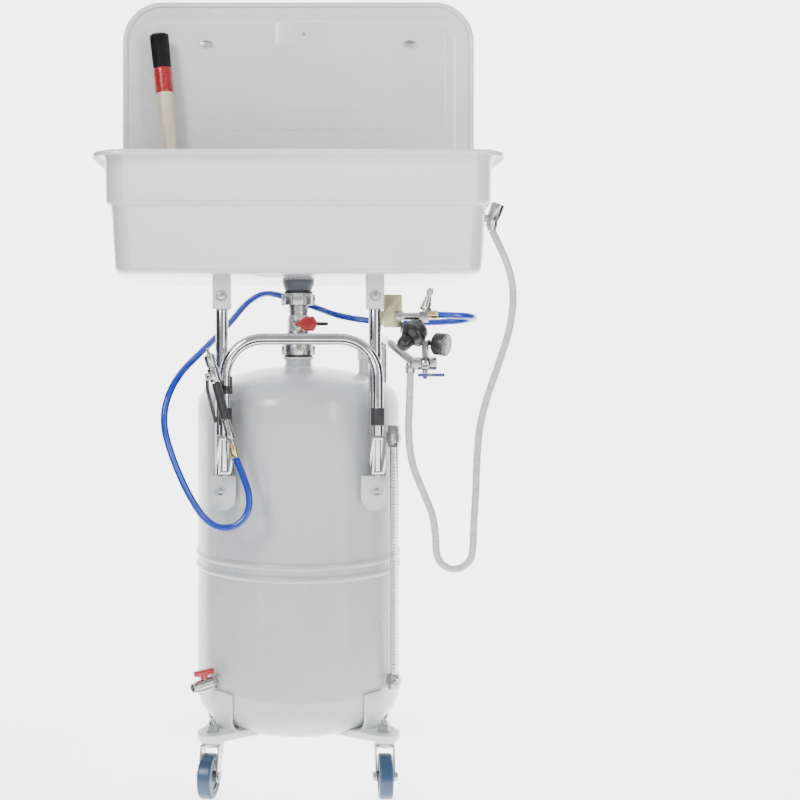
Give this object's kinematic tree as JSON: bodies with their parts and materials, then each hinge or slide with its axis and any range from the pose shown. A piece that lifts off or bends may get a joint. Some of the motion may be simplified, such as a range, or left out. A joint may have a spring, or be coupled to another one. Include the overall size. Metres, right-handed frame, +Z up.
{
  "type": "parts washer",
  "caption": "Upright pressure-tank parts washer on wheels, with a wash basin and splash guard on posts, hoses, valves, sight gauge, wash gun and brush.",
  "frame": {"origin": "centre of the footprint on the floor, under the wheels, measured without the free hoses", "axes": "+Z up, -Y to the front where the gun hangs, +X to the side with the sight gauge"},
  "size_m": [0.7571, 0.589, 1.512],
  "materials": {
    "tank_paint": "gloss",
    "leg_paint": "gloss",
    "basin_enamel": "gloss",
    "splash_paint": "gloss",
    "chrome_tube": "polished",
    "nickel": "satin",
    "zinc": "satin",
    "yellow_zinc": "satin",
    "brass": "satin",
    "black_rubber": "matte",
    "caster_blue": "satin",
    "grey_plastic": "matte",
    "white_plastic": "satin",
    "red_plastic": "gloss",
    "red_paint": "gloss",
    "blue_paint": "gloss",
    "black_plastic": "satin",
    "gauge_clear": "clear",
    "blue_hose": "gloss",
    "clear_hose": "translucent",
    "wood": "sealed",
    "bristle": "matte"
  },
  "bodies": {
    "root": {"tank_shell": "tank_paint", "tank_ports": "tank_paint", "dip_tube": "zinc", "sight_gauge_fittings": "nickel", "sight_gauge_tube": "gauge_clear", "tap_body": "nickel", "front_legs": "leg_paint", "caster_heads": "zinc", "post_lugs": "leg_paint", "posts": "chrome_tube", "rear_brackets": "leg_paint", "rear_axle": "zinc", "post_sleeves": "leg_paint", "frame_bolts": "zinc", "pull_handle": "chrome_tube", "handle_brackets": "chrome_tube", "handle_collars": "black_rubber", "basin_bowl": "basin_enamel", "basin_wall": "basin_enamel", "work_grid": "basin_enamel", "drain_strainer": "nickel", "backsplash": "splash_paint", "drain_socket": "grey_plastic", "union_gaskets": "black_rubber", "union_nuts": "nickel", "drain_valve_body": "nickel", "air_bracket": "yellow_zinc", "air_tee": "nickel", "regulator_body": "black_plastic", "gauge_case": "black_plastic", "gauge_lens": "gauge_clear", "outlet_manifold": "nickel", "outlet_valve": "nickel", "gun_body": "nickel", "gun_grip": "black_rubber", "gun_hook": "black_plastic", "hose_ferrules": "brass", "blue_hose": "blue_hose", "clear_hose": "clear_hose", "wall_coupler": "nickel"},
    "filler_cap": {"filler_cap": "white_plastic"},
    "drain_valve": {"drain_valve_ball": "chrome_tube", "drain_valve_knob": "red_plastic"},
    "tank_tap": {"tap_lever": "red_paint"},
    "outlet_lever": {"outlet_valve_lever": "blue_paint"},
    "pressure_knob": {"regulator_knob": "black_plastic"},
    "gun_trigger": {"gun_lever": "black_plastic"},
    "brush": {"brush_handle": "wood", "brush_ferrule": "red_plastic", "brush_bristles": "bristle"},
    "caster_left": {"caster_fork_left": "zinc"},
    "caster_wheel_left": {"caster_tread_left": "caster_blue", "caster_hub_left": "grey_plastic"},
    "rear_wheel_left": {"rear_tyre_left": "black_rubber", "rear_hub_left": "grey_plastic"},
    "caster_right": {"caster_fork_right": "zinc"},
    "caster_wheel_right": {"caster_tread_right": "caster_blue", "caster_hub_right": "grey_plastic"},
    "rear_wheel_right": {"rear_tyre_right": "black_rubber", "rear_hub_right": "grey_plastic"}
  },
  "joints": [
    {"name": "caster_swivel_left", "type": "hinge", "parent": "root", "child": "caster_left", "pos_m": [-0.15144, -0.19932, 0.09], "axis": [0, 0, 1], "continuous": true},
    {"name": "caster_roll_left", "type": "hinge", "parent": "caster_left", "child": "caster_wheel_left", "pos_m": [-0.15601, -0.22084, 0.038], "axis": [0.9781, -0.2079, 0], "continuous": true},
    {"name": "rear_wheel_roll_left", "type": "hinge", "parent": "root", "child": "rear_wheel_left", "pos_m": [-0.167, 0.2145, 0.08], "axis": [1, 0, 0], "continuous": true},
    {"name": "caster_swivel_right", "type": "hinge", "parent": "root", "child": "caster_right", "pos_m": [0.15144, -0.19932, 0.09], "axis": [0, 0, 1], "continuous": true},
    {"name": "caster_roll_right", "type": "hinge", "parent": "caster_right", "child": "caster_wheel_right", "pos_m": [0.15144, -0.22132, 0.038], "axis": [1, 0, 0], "continuous": true},
    {"name": "rear_wheel_roll_right", "type": "hinge", "parent": "root", "child": "rear_wheel_right", "pos_m": [0.167, 0.2145, 0.08], "axis": [1, 0, 0], "continuous": true},
    {"name": "drain_valve_turn", "type": "hinge", "parent": "root", "child": "drain_valve", "pos_m": [0, -0.0625, 0.829], "axis": [0, 1, 0], "range_deg": [0, 90]},
    {"name": "tank_tap_turn", "type": "hinge", "parent": "root", "child": "tank_tap", "pos_m": [-0.16786, -0.18335, 0.18612], "axis": [0, 0, 1], "range_deg": [0, 90]},
    {"name": "outlet_valve_turn", "type": "hinge", "parent": "root", "child": "outlet_lever", "pos_m": [0.224, -0.1925, 0.737], "axis": [0, 0, 1], "range_deg": [0, 90]},
    {"name": "pressure_knob_turn", "type": "hinge", "parent": "root", "child": "pressure_knob", "pos_m": [0.2, -0.2145, 0.808], "axis": [-0.6414, -0.4209, -0.6414], "range_deg": [0, 720]},
    {"name": "gun_trigger_squeeze", "type": "hinge", "parent": "root", "child": "gun_trigger", "pos_m": [-0.15472, -0.2545, 0.73572], "axis": [0, -1, 0], "range_deg": [0, 4], "stiffness_Nm_per_rad": 2},
    {"name": "filler_cap_turn", "type": "hinge", "parent": "root", "child": "filler_cap", "pos_m": [0.128, -0.0225, 0.77], "axis": [0, 0, 1], "range_deg": [0, 720]},
    {"name": "brush_lift", "type": "slide", "parent": "root", "child": "brush", "axis": [-0.1005, -0.2009, 0.9744], "range_m": [0, 0.2]}
  ]
}
